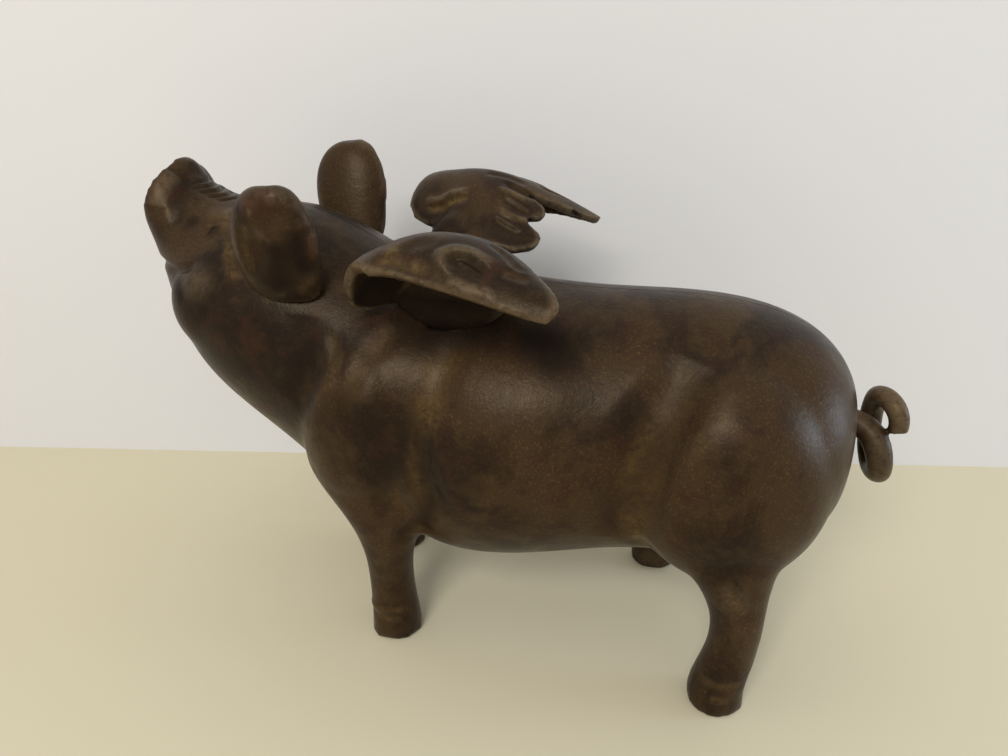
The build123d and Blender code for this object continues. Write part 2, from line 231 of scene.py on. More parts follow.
class Clay:
    """The surface of a casting while it is carved, and the marks that its patina reads, painted
    shade and painted highlights among them.
    """

    def __init__(self, piece):
        self.piece = piece
        self.marks = {}
        self.read()

    def read(self):
        """Take the places, the normals and the surface from the mesh."""
        mesh = self.piece.data
        count = len(mesh.vertices)
        self.places = np.empty(count * 3)
        mesh.vertices.foreach_get("co", self.places)
        self.places = self.places.reshape(-1, 3)
        self.facing = np.empty(count * 3)
        mesh.vertex_normals.foreach_get("vector", self.facing)
        self.facing = self.facing.reshape(-1, 3)
        take_up(self.piece)
        graph = bpy.context.evaluated_depsgraph_get()
        self.tree = BVHTree.FromObject(self.piece, graph)

    def write(self):
        """Put the carved places and the marks into the mesh."""
        mesh = self.piece.data
        mesh.vertices.foreach_set("co", self.places.ravel())
        for name, mark in self.marks.items():
            layer = mesh.attributes.get(name) or mesh.attributes.new(name, "FLOAT", "POINT")
            layer.data.foreach_set("value", np.clip(mark, 0, 1).astype(np.float32))
        mesh.update()

    def renew(self):
        """Take the normals again from the surface as carved so far."""
        self.write()
        self.read()

    def mark(self, name, weight):
        """Keep the stronger of a mark's old and new weight at each vertex."""
        old = self.marks.setdefault(name, np.zeros(len(self.places)))
        self.marks[name] = np.maximum(old, weight)

    def carve(self, points, radius, lift, tint=None, tint_share=1.0, side=LEFT, shift=(0, 0, 0),
              ends=0.25):
        """Raise or press the surface along a line, and tint it.

        Points, radius, lift and shift are in millimetres, and the points are given for the left
        side. The lift fades over a share of the line at both ends.
        """
        size = bpy.context.scene.pig_sizes
        line = through(points, max(radius / 3, 1.0))
        line = (line * (1, -side, 1) + shift) * MM
        radius = radius * MM
        lift = lift * MM * size.carving
        laid = []
        for point in line:
            spot, _, _, _ = self.tree.find_nearest(Vector(point))
            laid.append(spot)
        laid = np.array(laid)
        above = (self.places > laid.min(0) - radius).all(1)
        below = (self.places < laid.max(0) + radius).all(1)
        near = np.nonzero(above & below)[0]
        if not len(near):
            return
        outward = self.outward(laid, radius, near)
        if len(laid) == 1:
            laid = np.vstack([laid, laid])
            outward = np.vstack([outward, outward])
        here = self.places[near]
        start = laid[:-1]
        run = laid[1:] - start
        length = (run ** 2).sum(1).clip(1e-12)
        part = ((here[:, None, :] - start[None]) * run[None]).sum(2) / length
        part = part.clip(0, 1)
        gaps = np.linalg.norm(here[:, None, :] - start[None] - part[:, :, None] * run[None], axis=2)
        closest = gaps.argmin(1)
        rows = np.arange(len(near))
        gap = gaps[rows, closest]
        part = part[rows, closest]
        along = (closest + part) / len(start)
        away = outward[closest] * (1 - part)[:, None] + outward[closest + 1] * part[:, None]
        agree = (self.facing[near] * away).sum(1)
        weight = np.clip(1 - (gap / radius) ** 2, 0, None) ** 2 * np.clip(agree * 2, 0, 1)
        if len(points) > 1 and ends:
            fade = np.clip(np.minimum(along, 1 - along) / ends, 0, 1)
            weight = weight * fade * (2 - fade)
        self.places[near] += self.facing[near] * (lift * weight)[:, None]
        if tint:
            mark = np.zeros(len(self.places))
            mark[near] = weight * tint_share
            self.mark(tint, mark)

    def outward(self, spots, reach, near):
        """The way out of the surface at a few spots, as the mean of the normals round each."""
        ways = []
        places = self.places[near]
        facing = self.facing[near]
        for spot in spots:
            _, straight, _, _ = self.tree.find_nearest(Vector(spot))
            gap = np.linalg.norm(places - spot, axis=1)
            round_spot = facing[gap < min(reach / 2, WAY_REACH * MM)]
            round_spot = round_spot[round_spot @ np.array(straight) > 0]
            way = round_spot.mean(0) if len(round_spot) else np.array(straight)
            ways.append(way / np.linalg.norm(way))
        return np.array(ways)

    def pairs(self):
        """The two vertices of every edge."""
        mesh = self.piece.data
        ends = np.empty(len(mesh.edges) * 2, np.int64)
        mesh.edges.foreach_get("vertices", ends)
        return ends.reshape(-1, 2)

    def spread(self, values, pairs):
        """Mean of each vertex's neighbours."""
        flat = values.reshape(len(values), -1)
        count = len(flat)
        degree = np.bincount(pairs.ravel(), minlength=count).clip(1)
        total = np.empty_like(flat)
        for column in range(flat.shape[1]):
            data = flat[:, column]
            total[:, column] = (np.bincount(pairs[:, 0], data[pairs[:, 1]], count)
                                + np.bincount(pairs[:, 1], data[pairs[:, 0]], count))
        return (total / degree[:, None]).reshape(values.shape)

    def mark_relief(self, grain, share=1.0):
        """Mark hollows and edges from how far each vertex stands from its neighbours' mean."""
        pairs = self.pairs()
        for rounds, hollow_gain, edge_gain in RELIEF_SCALES:
            mean = self.places
            for _ in range(rounds):
                mean = self.spread(mean, pairs)
            bend = ((mean - self.places) * self.facing).sum(1) / (grain * math.sqrt(rounds))
            for _ in range(max(1, rounds // 3)):
                bend = self.spread(bend, pairs)
            self.mark("hollow", share * np.clip(bend * hollow_gain - HOLLOW_FLOOR, 0, 1))
            self.mark("edge", share * np.clip(-bend * edge_gain - EDGE_FLOOR, 0, 1))


# Materials


# Inputs of a Math node that share one name, by their order
OPERANDS = {"first": 0, "second": 1}
# Inputs and output of a colour Mix node, which share their names with those of other kinds
MIX_BASE = 6
MIX_OVER = 7
MIX_RESULT = 2


def shader(name):
    """A new material and helpers to add and join its nodes."""
    material = bpy.data.materials.new(name)
    material.use_nodes = True
    nodes = material.node_tree.nodes
    links = material.node_tree.links
    surface = nodes["Principled BSDF"]

    def add(kind, settings=None, **inputs):
        """A node with its settings, and its inputs given by name or as the two operands."""
        node = nodes.new(kind)
        for key, value in (settings or {}).items():
            setattr(node, key, value)
        for key, value in inputs.items():
            socket = node.inputs[OPERANDS.get(key, key.replace("_", " "))]
            if hasattr(value, "is_output"):
                links.new(value, socket)
            else:
                socket.default_value = value
        return node

    return material, surface, add, links


def patina():
    """Brown patina over cast metal: clouds of umber and rust, powder in creases, rubbed edges,
    painted highlights and painted shade.
    """
    if "cast_patina" in bpy.data.materials:
        return bpy.data.materials["cast_patina"]
    colours = bpy.context.scene.pig_colours
    material, surface, add, links = shader("cast_patina")
    place = add("ShaderNodeTexCoord").outputs["Object"]

    def noise(scale, detail=3.0, rough=0.55, twist=0.0):
        return add("ShaderNodeTexNoise", Vector=place, Scale=scale, Detail=detail, Roughness=rough,
                   Distortion=twist).outputs["Fac"]

    def between(value, low, high):
        return add("ShaderNodeMapRange", {"interpolation_type": "SMOOTHSTEP"}, Value=value,
                   From_Min=low, From_Max=high).outputs["Result"]

    def math_of(kind, a, b):
        node = add("ShaderNodeMath", {"operation": kind, "use_clamp": True}, first=a, second=b)
        return node.outputs[0]

    def blend(share, base, over):
        node = add("ShaderNodeMix", {"data_type": "RGBA"})
        links.new(share, node.inputs["Factor"])
        for value, socket in ((base, node.inputs[MIX_BASE]), (over, node.inputs[MIX_OVER])):
            if hasattr(value, "is_output"):
                links.new(value, socket)
            else:
                socket.default_value = (*value, 1)
        return node.outputs[MIX_RESULT]

    def kept(name):
        return add("ShaderNodeAttribute", {"attribute_name": name}).outputs["Fac"]

    hollow = kept("hollow")
    edge = kept("edge")
    powder = kept("ochre")
    soot = kept("soot")
    ruddy = kept("ruddy")

    clouds = noise(22, 5, 0.62, 0.5)
    patches = noise(95, 6, 0.68, 0.3)
    grain = noise(430, 4, 0.7)
    dust = noise(1250, 3, 0.6)
    speckle = noise(1500, 2, 0.6)

    mottle = math_of("ADD", math_of("MULTIPLY", clouds, 0.6), math_of("MULTIPLY", patches, 0.4))
    tone = blend(between(mottle, 0.44, 0.58), colours.brown, colours.umber)
    tone = blend(math_of("MULTIPLY", between(patches, 0.48, 0.66), 0.5), tone, colours.rust)
    tone = blend(math_of("MULTIPLY", ruddy, between(patches, 0.25, 0.55)), tone, colours.rust)

    dusting = math_of("MULTIPLY", between(patches, 0.30, 0.62), between(grain, 0.30, 0.66))
    creased = math_of("ADD", math_of("MULTIPLY", powder, 0.9), math_of("MULTIPLY", hollow, 0.35))
    creased = math_of("MULTIPLY", creased, math_of("ADD", dusting, 0.2))
    tone = blend(creased, tone, colours.ochre)
    flecks = math_of("MULTIPLY", between(dust, 0.52, 0.70), between(clouds, 0.70, 0.35))
    tone = blend(math_of("MULTIPLY", flecks, 0.45), tone, colours.ochre)
    # Painted shade: nearly black where the shade mark lies
    tone = blend(math_of("MULTIPLY", soot, between(clouds, 0.1, 0.5)), tone, colours.soot)
    # Rubbed edges in bare bronze, and painted highlights where the carving lays this mark on the
    # cheek, the snout's rim and the ear
    rubbed_and_highlit = math_of("MULTIPLY", edge, math_of("ADD", between(grain, 0.30, 0.62), 0.3))
    tone = blend(math_of("MULTIPLY", rubbed_and_highlit, 0.30), tone, colours.bronze_and_highlight)
    links.new(tone, surface.inputs["Base Color"])

    rough = add("ShaderNodeMapRange", Value=patches, From_Min=0.3, From_Max=0.7, To_Min=0.28,
                To_Max=0.42).outputs["Result"]
    links.new(rough, surface.inputs["Roughness"])
    surface.inputs["Metallic"].default_value = 0.0
    surface.inputs["Specular Tint"].default_value = (1, 0.84, 0.62, 1)
    # Less specular where the painted shade lies
    sheen = add("ShaderNodeMapRange", Value=soot, To_Min=0.15, To_Max=0.02).outputs["Result"]
    links.new(sheen, surface.inputs["Specular IOR Level"])

    coarse = add("ShaderNodeBump", Height=patches, Strength=0.12, Distance=0.0012)
    pitted = add("ShaderNodeBump", Height=grain, Strength=0.30, Distance=0.0005)
    links.new(coarse.outputs["Normal"], pitted.inputs["Normal"])
    fine = add("ShaderNodeBump", Height=speckle, Strength=0.16, Distance=0.0003)
    links.new(pitted.outputs["Normal"], fine.inputs["Normal"])
    links.new(fine.outputs["Normal"], surface.inputs["Normal"])
    return material


def zinc():
    """Dull zinc plating of the screws and washers."""
    colours = bpy.context.scene.pig_colours
    material, surface, add, links = shader("zinc_plating")
    place = add("ShaderNodeTexCoord").outputs["Object"]
    cloud = add("ShaderNodeTexNoise", Vector=place, Scale=420, Detail=4).outputs["Fac"]
    tone = add("ShaderNodeMix", {"data_type": "RGBA"})
    links.new(cloud, tone.inputs["Factor"])
    tone.inputs[MIX_BASE].default_value = (*colours.zinc, 1)
    tone.inputs[MIX_OVER].default_value = (*[share * 0.6 for share in colours.zinc], 1)
    links.new(tone.outputs[MIX_RESULT], surface.inputs["Base Color"])
    rough = add("ShaderNodeMapRange", Value=cloud, To_Min=0.30, To_Max=0.50).outputs["Result"]
    links.new(rough, surface.inputs["Roughness"])
    bump = add("ShaderNodeBump", Height=cloud, Strength=0.15, Distance=0.0002)
    links.new(bump.outputs["Normal"], surface.inputs["Normal"])
    surface.inputs["Metallic"].default_value = 0.9
    return material


def hand_over(piece, node):
    """Give a finished casting its patina and let it stand for its CAD node."""
    piece.data.materials.clear()
    piece.data.materials.append(patina())
    for polygon in piece.data.polygons:
        polygon.use_smooth = True
    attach(piece, "root")
    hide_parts(node)


# Carving. Each row holds a line of points for the left side, its radius and its lift, all in
# millimetres, and most rows a tint and the tint's share. A lift below zero presses in.

BULGES = [
    ([(-33, -42, 110)], 26, 2.0),
    ([(8, -46, 108)], 32, 1.6),
    ([(76, -46, 106)], 30, 2.2),
    ([(-24, -40, 62), (-30, -38, 48)], 14, 0.8),
    ([(86, -47, 52)], 12, 0.8),
]
# Rows with the dark tint paint shade into the creases; rows with ochre are powder
FURROWS = [
    # between the shoulder and the side, and down behind the front leg
    ([(-10, -35, 128), (-13, -42, 117), (-16, -47, 106), (-19, -49, 94)], 9, -1.3, "ochre", 0.6),
    ([(-19, -49, 100), (-20, -49, 88), (-18, -49, 76), (-13, -48, 64)], 8, -2.2, "soot", 0.5),
    ([(-22, -48, 92), (-22, -48, 81), (-20, -47, 70), (-17, -46, 60)], 4, 0, "ochre", 0.8),
    ([(-17, -49, 76), (-19, -48, 64), (-24, -45, 52), (-26, -41, 44)], 6, -1.4, "soot", 0.8),
    # under the shoulder
    ([(-56, -48, 104), (-47, -51, 102), (-38, -52, 99), (-29, -50, 97), (-20, -49, 96)], 10, -0.9,
     "soot", 0.5),
    ([(-30, -36, 130), (-35, -41, 123), (-40, -46, 115), (-43, -50, 106)], 6, -0.8, "ochre", 0.4),
    # flank
    ([(67, -35, 126), (61, -42, 114), (55, -46, 103), (51, -48, 89), (50, -47, 73), (49, -41, 58)],
     15, -3.2, "soot", 0.35),
    ([(56, -45, 108), (52, -47, 97), (49, -48, 88), (48, -48, 77)], 5, 0, "ochre", 1.0),
    ([(50, -47, 74), (51, -43, 60), (56, -37, 50)], 6, -1.2, "ochre", 0.5),
    # neck
    ([(-60, -40, 132), (-61, -43, 121), (-63, -45, 108), (-70, -43, 99)], 10, -1.0, "soot", 0.5),
    ([(-51, -41, 128), (-50, -46, 117), (-52, -49, 106)], 4, -0.7, "ochre", 0.5),
    # painted shadow under the wing
    ([(-34, -35, 130), (-20, -37, 130), (-6, -35, 131), (11, -33, 130), (24, -36, 127),
      (33, -37, 124)], 13, 0, "soot", 1.0),
]
# Creases round the front of the hooves: the leg's centre, its radius, the turns that they start
# and end at, their height, their lift and the leg
HOOF_RIDGES = [
    (-38.4, -29.0, 9.8, (-2.9, -0.6), 14.0, 0.5, "front"),
    (-38.4, -29.0, 9.8, (-2.6, -0.9), 10.5, -0.5, "front"),
    (84.0, -40.0, 9.8, (-2.9, -0.6), 13.5, -0.4, "hind"),
    (84.0, -40.0, 9.8, (-1.9, -1.2), 8.0, 0.4, "hind"),
]
HOOF_RIDGE_RADIUS = 2.4
HOOF_RIDGE_POINTS = 6
# How far the legs of each side stand forward of the left ones, hind legs first
LEG_LEADS = {LEFT: (0, 0), RIGHT: (25, 18)}


# Rows with the dark tint paint the shade in the ear's hollow, its groove and along its lower edge;
# the last row paints a glint on a dent near the top
EAR_LINES = [
    ([(-67, -48, 156), (-67, -47, 150), (-65, -46, 142), (-63, -45, 135)], 13, -0.3, "soot", 0.9),
    ([(-61, -42, 171)], 7, 1.0, None, 0),
    ([(-76, -44, 161), (-77, -43, 152), (-76, -41, 144)], 2.6, -0.9, "ochre", 0.4),
    ([(-58, -43, 160), (-58, -42, 152), (-58, -39, 142)], 6, -0.9, "soot", 0.9),
    ([(-66, -42, 136), (-60, -40, 134)], 6, 0, "soot", 0.7),
    ([(-52, -40, 158), (-52, -39, 148)], 6, 0.4, "ruddy", 1.0),
    ([(-74, -43, 164), (-69, -45, 169), (-62, -44, 169)], 7, 0.8, "ruddy", 0.8),
    ([(-72.5, -45, 165)], 1.8, -0.9, "edge", 1.0),
]
# How far the left ear leans forward below a height, as a share of the way down
EAR_LEAN = 0.09
EAR_PIVOT = 166
# How far the right ear's top dips above a height, as a share of the way up
EAR_DIP = 0.06
EAR_DIP_START = 160
# Where each ear's lines lie from the left one's
EAR_SHIFTS = {LEFT: (0, 0, 0), RIGHT: (-6, 0, 8)}


# The wing's sections from front to back, in millimetres: place along the length, then the
# distance from the middle plane and the height of inner edge, crest and outer rim
WING_SECTIONS = np.array([
    (-46, 38, 130, 44, 135, 50, 140),
    (-40, 34, 133, 43, 143.5, 53, 147),
    (-34, 31, 134.5, 43, 150, 56, 149.5),
    (-27, 28, 137, 43, 154.3, 58, 151),
    (-20, 22, 138, 42, 157.3, 59, 150.8),
    (-12, 18, 138, 42, 159, 60, 149.2),
    (0, 17, 138, 43, 158.3, 62, 147),
    (12, 20, 136.5, 47, 153.8, 64, 144.5),
    (22, 24, 134, 52, 148.5, 64, 142),
    (32, 28, 132, 57, 143.5, 62, 140),
])
# Where the shell ends in front and behind, from the inner edge to the outer rim
WING_FRONT = np.array([(0, -40), (0.25, -43), (0.5, -42.5), (0.7, -40.5), (0.85, -36.5), (1, -29)])
WING_REAR = np.array([
    (0, 2), (0.04, 8), (0.08, 10), (0.13, 9.5), (0.18, 4), (0.23, 9), (0.29, 10), (0.34, 8),
    (0.38, 2), (0.42, 10), (0.47, 17), (0.54, 22), (0.64, 26), (0.76, 28), (0.88, 27.5), (1, 25)])
# The right wing stands higher in front than the left one: its forward shift and stretch, its
# rise at places along the length, and the twist that raises its outer rim behind
WING_FORWARD = 4.2
WING_STRETCH = 1.04
WING_RISES = np.array([
    (-46, 19), (-40, 17), (-34, 13.6), (-27, 10.8), (-20, 9), (-12, 7.2), (0, 4.6), (12, 2.2),
    (22, -0.2), (32, -3.5)])
WING_TWIST = 0.25
# Rows with the dark tint paint shade into the furrows
WING_LINES = [
    # hook ridge and furrow on the outer side
    ([(-2, -59, 152.5), (-5, -58, 154.5), (-7, -56, 156.5), (-6, -55, 157.5), (-3, -54, 158.5),
      (1, -54, 157.5), (4, -55, 156.5), (9, -57, 154.5)], 2.8, 1.2, "edge", 0.6),
    ([(-2, -59, 153.5), (-3, -57, 155.5), (-2, -56, 156.5), (0, -56, 156.5), (4, -57, 154.5),
      (8, -59, 152.5)], 2.2, -1.4, "soot", 0.5),
    ([(11, -58, 153.5), (15, -58, 152.5), (19, -58, 151.5)], 2.6, -0.9, "ochre", 0.4),
    ([(-4, -60, 151.5), (-1, -61, 150.5), (2, -62, 149.5), (7, -62, 148.5), (11, -63, 147.5)],
     2.6, 0.4, "edge", 1.0),
    ([(-27, -56, 154.5), (-21, -57, 154.5), (-15, -58, 153.5), (-9, -59, 153.5)], 3.5, -0.9,
     "ochre", 0.6),
    ([(-19, -55, 156.5), (-15, -52, 158.5), (-9, -52, 159.5)], 4, -0.5, "soot", 0.4),
    ([(-22, -54, 156.5)], 5, 0.4, "ochre", 0.8),
    ([(5, -47, 158.5), (10, -50, 156.5), (14, -54, 154.5), (17, -55, 152.5)], 2.2, -0.9,
     "ochre", 0.4),
    # ridge and furrows on the inner side
    ([(-36, -36, 141.5), (-30, -34, 145.5), (-25, -34, 149.5), (-20, -32, 152.5),
      (-17, -32, 153.5)], 2.6, 1.1, "edge", 0.6),
    ([(-35, -33, 140.5), (-28, -31, 144.5), (-23, -31, 148.5), (-17, -30, 150.5)], 3, -1.0,
     "ochre", 0.8),
    ([(-14, -41, 160.5), (-5, -42, 160.5), (2, -42, 158.5)], 3.0, -0.7, "soot", 0.4),
    ([(-6, -38, 158.5), (0, -37, 157.5), (4, -38, 155.5)], 2.2, -1.2, "soot", 0.5),
    ([(-6, -31, 153.5), (0, -30, 152.5), (6, -30, 150.5)], 2.2, -1.3, "soot", 0.4),
    ([(-6, -27, 150.5), (-1, -26, 148.5), (5, -27, 147.5)], 2.2, 0.7, "ochre", 0.6),
    ([(-7, -23, 147.5), (-2, -22, 145.5), (4, -22, 143.5)], 2.2, -1.2, "soot", 0.4),
    ([(-8, -34, 156.5), (-2, -34, 155.5), (5, -34, 153.5)], 2.2, 0.7, "ochre", 0.6),
    ([(19, -48, 152.5), (20, -51, 150.5), (20, -55, 148.5)], 1.8, -1.3, "soot", 0.6),
]
# Where each wing's foot swells over its seat: its middle and its half lengths
WING_FEET = {
    LEFT: ((-13, -27.5, 138), (20, 9, 12)),
    RIGHT: ((-23, 28, 141), (15.5, 9, 15)),
}
# Height up to which the CAD's wing is kept, as the root that sits in the body
WING_CUT = 136
WING_CELLS = 80
WING_PLATE = 4.0
# Where painted shade lies under a wing: inward of a distance from the middle plane and below a
# height, each with the width over which it fades
WING_INNER = (50, 8)
WING_LOW = (143, 5)


def eased(spots, known, values):
    """Values between known ones on a smooth line."""
    slopes = np.gradient(values, known)
    index = np.clip(np.searchsorted(known, spots) - 1, 0, len(known) - 2)
    gap = known[index + 1] - known[index]
    share = np.clip((spots - known[index]) / gap, 0, 1)
    low, high = values[index], values[index + 1]
    rise = 3 * share ** 2 - 2 * share ** 3
    return (low + (high - low) * rise
            + gap * slopes[index] * (share ** 3 - 2 * share ** 2 + share)
            + gap * slopes[index + 1] * (share ** 3 - share ** 2))


def wing_lift(length, across, side):
    """Height in millimetres that a wing has over the left one's, at places on the wing."""
    if side == LEFT:
        return np.zeros(len(length))
    rise = eased(length, WING_RISES[:, 0], WING_RISES[:, 1])
    return rise + WING_TWIST * across ** 2 * np.clip(length, 0, None)


def wing_blank(name, node, side):
    """The wing before it is carved: a scalloped sheet bent over its sections, on the CAD root."""
    deselect_all()
    bpy.ops.mesh.primitive_grid_add(x_subdivisions=WING_CELLS, y_subdivisions=WING_CELLS, size=1)
    sheet = bpy.context.object
    sheet.name = name
    places = np.empty(len(sheet.data.vertices) * 3)
    sheet.data.vertices.foreach_get("co", places)
    places = places.reshape(-1, 3)
    along = places[:, 0] + 0.5
    across = places[:, 1] + 0.5
    front = eased(across, WING_FRONT[:, 0], WING_FRONT[:, 1])
    rear = eased(across, WING_REAR[:, 0], WING_REAR[:, 1])
    length = front + (rear - front) * along
    inner_y, inner_z, crest_y, crest_z, rim_y, rim_z = [
        eased(length, WING_SECTIONS[:, 0], WING_SECTIONS[:, column]) for column in range(1, 7)]
    shares = ((1 - across) * (1 - 2 * across), 4 * across * (1 - across), across * (2 * across - 1))
    out = inner_y * shares[0] + crest_y * shares[1] + rim_y * shares[2]
    up = inner_z * shares[0] + crest_z * shares[1] + rim_z * shares[2]
    if side == RIGHT:
        places_along = length * WING_STRETCH - WING_FORWARD
    else:
        places_along = length
    bent = np.stack([places_along, side * out, up + wing_lift(length, across, side)], 1)
    sheet.data.vertices.foreach_set("co", (bent * MM).ravel())
    take_up(sheet)
    bpy.ops.object.mode_set(mode="EDIT")
    bpy.ops.mesh.select_all(action="SELECT")
    bpy.ops.mesh.normals_make_consistent(inside=False)
    bpy.ops.object.mode_set(mode="OBJECT")
    finish_with(sheet, "SOLIDIFY", thickness=WING_PLATE * MM, offset=0)
    foot_at, foot_size = np.array(WING_FEET[side], float)
    bpy.ops.mesh.primitive_uv_sphere_add(segments=48, ring_count=32, location=foot_at * MM,
                                         scale=foot_size * MM)
    foot = bpy.context.object
    root = cast_from("wing_root", [node])
    bpy.ops.object.mode_set(mode="EDIT")
    bpy.ops.mesh.select_all(action="SELECT")
    bpy.ops.mesh.bisect(plane_co=(0, 0, WING_CUT * MM), plane_no=(0, 0, 1), use_fill=True,
                        clear_outer=True)
    bpy.ops.object.mode_set(mode="OBJECT")
    deselect_all()
    root.select_set(True)
    foot.select_set(True)
    sheet.select_set(True)
    bpy.context.view_layer.objects.active = sheet
    bpy.ops.object.join()
    return sheet


FACE_LINES = [
    # mouth and jaw with painted shade, and the cheek with a painted highlight
    ([(-131, 0, 141), (-128, -12, 140.5), (-124, -19, 139.5), (-119, -23, 139), (-112, -26, 140),
      (-105, -29, 142)], 2.8, -1.2, "soot", 0.5),
    ([(-121, -24, 137), (-115, -30, 135), (-109, -35, 132)], 7, 0, "soot", 0.8),
    ([(-103, -34, 138)], 9, 1.4, "edge", 0.6),
    ([(-126, -6, 132)], 9, 0.8, None, 0),
    # swollen lid, the eye on it painted dark as the shade of its pit, the powder round it, and
    # painted shade in a dent behind
    ([(-102.5, -20, 156), (-102, -22, 150.5)], 4.6, 1.4, None, 0),
    ([(-102, -20, 155), (-101.5, -21.5, 150)], 3.8, 0.5, "soot", 1.0),
    ([(-107, -16, 157), (-103, -15.5, 160), (-99, -16, 158), (-94, -22, 153), (-90, -30, 145),
      (-87, -33, 138)], 5, 0.3, "ochre", 0.7),
    ([(-112, -17, 155)], 5, -0.6, "soot", 0.7),
    # the disc's rim, painted shade in the collar behind it, and a painted highlight on the rim's
    # edge
    ([(-121, -2, 173)], 6, 1.2, None, 0),
    ([(-119, -6, 169), (-118, -11, 165), (-118, -15, 161), (-117, -19, 154)], 4.5, -0.8,
     "soot", 0.5),
    ([(-124, -8, 170), (-125, -13, 166), (-126, -16, 160)], 5, 0.4, "edge", 0.7),
    # brow
    ([(-94, -8, 162), (-97, -14, 161), (-99, -19, 158)], 5, 0.5, "ochre", 0.4),
]
FACE_ENDS = 0.12
# Wrinkles across the bridge of the snout, with painted shade in their grooves: places of their tops
# along the length, and the line that each takes from there
WRINKLE_TOPS = [-115.0, -111.6, -108.2, -104.8, -101.4]
WRINKLE_LINE = [(0, 1, 168), (-1.5, -5, 168), (-4.5, -10, 167)]
# Regions of the body with finer cells: the head, the snout and the hooves
HEAD_END = -66
SNOUT_END = -96
SNOUT_FLOOR = 142
HOOF_TOP = 20
SEAM_LAP = 0.6


class PIG_OT_body(bpy.types.Operator):
    """Cast and carve the two body halves"""

    bl_idname = "pig.body"
    bl_label = "Body halves"

    def execute(self, context):
        sizes = context.scene.pig_sizes
        piece = cast_from("body", ["body_left_half", "body_right_half"], lap=SEAM_LAP * MM)
        lay_in_grain(piece, sizes.body_grain, 12)
        refine(piece, lambda at: at[:, 0] < HEAD_END * MM, 2)
        refine(piece, lambda at: (at[:, 0] < SNOUT_END * MM) & (at[:, 2] > SNOUT_FLOOR * MM), 3)
        refine(piece, lambda at: at[:, 2] < HOOF_TOP * MM, 2)
        clay = Clay(piece)
        for side, (hind, front) in LEG_LEADS.items():
            for points, radius, lift in BULGES:
                clay.carve(points, radius, lift, side=side, shift=(-front / 2, 0, 0))
            for points, radius, lift, tint, tint_share in FURROWS:
                clay.carve(points, radius, lift, tint, tint_share, side=side,
                           shift=(-front / 2, 0, 0))
            for x, y, radius, turns, height, lift, leg in HOOF_RIDGES:
                lead = front if leg == "front" else hind
                ridge = [(x + radius * math.cos(turn), y + radius * math.sin(turn), height)
                         for turn in np.linspace(*turns, HOOF_RIDGE_POINTS)]
                clay.carve(ridge, HOOF_RIDGE_RADIUS, lift, "ochre", 0.5, side=side,
                           shift=(-lead, 0, 0))
            for points, radius, lift, tint, tint_share in FACE_LINES:
                clay.carve(points, radius, lift, tint, tint_share, side=side,
                           ends=FACE_ENDS)
            for top in WRINKLE_TOPS:
                clay.carve([(top + x, y, z) for x, y, z in WRINKLE_LINE], 1.7, -0.9, "soot", 0.6,
                           side=side, ends=0.3)
        clay.renew()
        clay.mark_relief(sizes.body_grain)
        clay.write()
        for side, node in ((LEFT, "body_left_half"), (RIGHT, "body_right_half")):
            half = bpy.data.objects.new(node.replace("body", "cast"), piece.data.copy())
            context.scene.collection.objects.link(half)
            take_up(half)
            bpy.ops.object.mode_set(mode="EDIT")
            bpy.ops.mesh.select_all(action="SELECT")
            bpy.ops.mesh.bisect(plane_co=(0, 0, 0), plane_no=(0, side, 0), use_fill=True,
                                clear_inner=True)
            bpy.ops.object.mode_set(mode="OBJECT")
            hand_over(half, node)
        bpy.data.objects.remove(piece)
        return {"FINISHED"}


class PIG_OT_ears(bpy.types.Operator):
    """Cast and carve both ears"""

    bl_idname = "pig.ears"
    bl_label = "Ears"

    def execute(self, context):
        sizes = context.scene.pig_sizes
        for side, node in ((LEFT, "left_ear"), (RIGHT, "right_ear")):
            piece = cast_from("cast_" + node, [node])
            lay_in_grain(piece, sizes.detail_grain, 8)
            clay = Clay(piece)
            if side == LEFT:
                below = np.clip(EAR_PIVOT * MM - clay.places[:, 2], 0, None)
                clay.places[:, 0] -= EAR_LEAN * below
                clay.places[:, 2] += EAR_LEAN / 2 * below
            else:
                over = np.clip(clay.places[:, 2] - EAR_DIP_START * MM, 0, None)
                clay.places[:, 2] -= EAR_DIP * over
            clay.renew()
            for points, radius, lift, tint, tint_share in EAR_LINES:
                clay.carve(points, radius, lift, tint, tint_share, side=side,
                           shift=EAR_SHIFTS[side])
            clay.renew()
            clay.mark_relief(sizes.detail_grain, 0.5)
            clay.write()
            hand_over(piece, node)
        return {"FINISHED"}


class PIG_OT_wings(bpy.types.Operator):
    """Cast and carve both wings"""

    bl_idname = "pig.wings"
    bl_label = "Wings"

    def execute(self, context):
        sizes = context.scene.pig_sizes
        for side, node in ((LEFT, "left_wing"), (RIGHT, "right_wing")):
            piece = wing_blank("cast_" + node, node, side)
            lay_in_grain(piece, sizes.detail_grain, 12)
            clay = Clay(piece)
            for points, radius, lift, tint, tint_share in WING_LINES:
                points = np.array(points, float)
                if side == RIGHT:
                    points[:, 2] += wing_lift(points[:, 0], 0, side)
                    points[:, 0] = points[:, 0] * WING_STRETCH - WING_FORWARD
                clay.carve(points, radius, lift, tint, tint_share, side=side)
            # Painted shade under the wing: dark where the surface faces down near the body, and
            # over the low root
            shade = np.clip(0.3 - clay.facing[:, 2] * 2, 0, 1)
            inner_edge, inner_fade = WING_INNER
            low_edge, low_fade = WING_LOW
            inner = np.clip((inner_edge * MM - np.abs(clay.places[:, 1])) / (inner_fade * MM), 0, 1)
            low = np.clip((low_edge * MM - clay.places[:, 2]) / (low_fade * MM), 0, 1)
            clay.mark("soot", np.maximum(shade * inner, low))
            clay.renew()
            clay.mark_relief(sizes.detail_grain)
            clay.write()
            hand_over(piece, node)
        return {"FINISHED"}


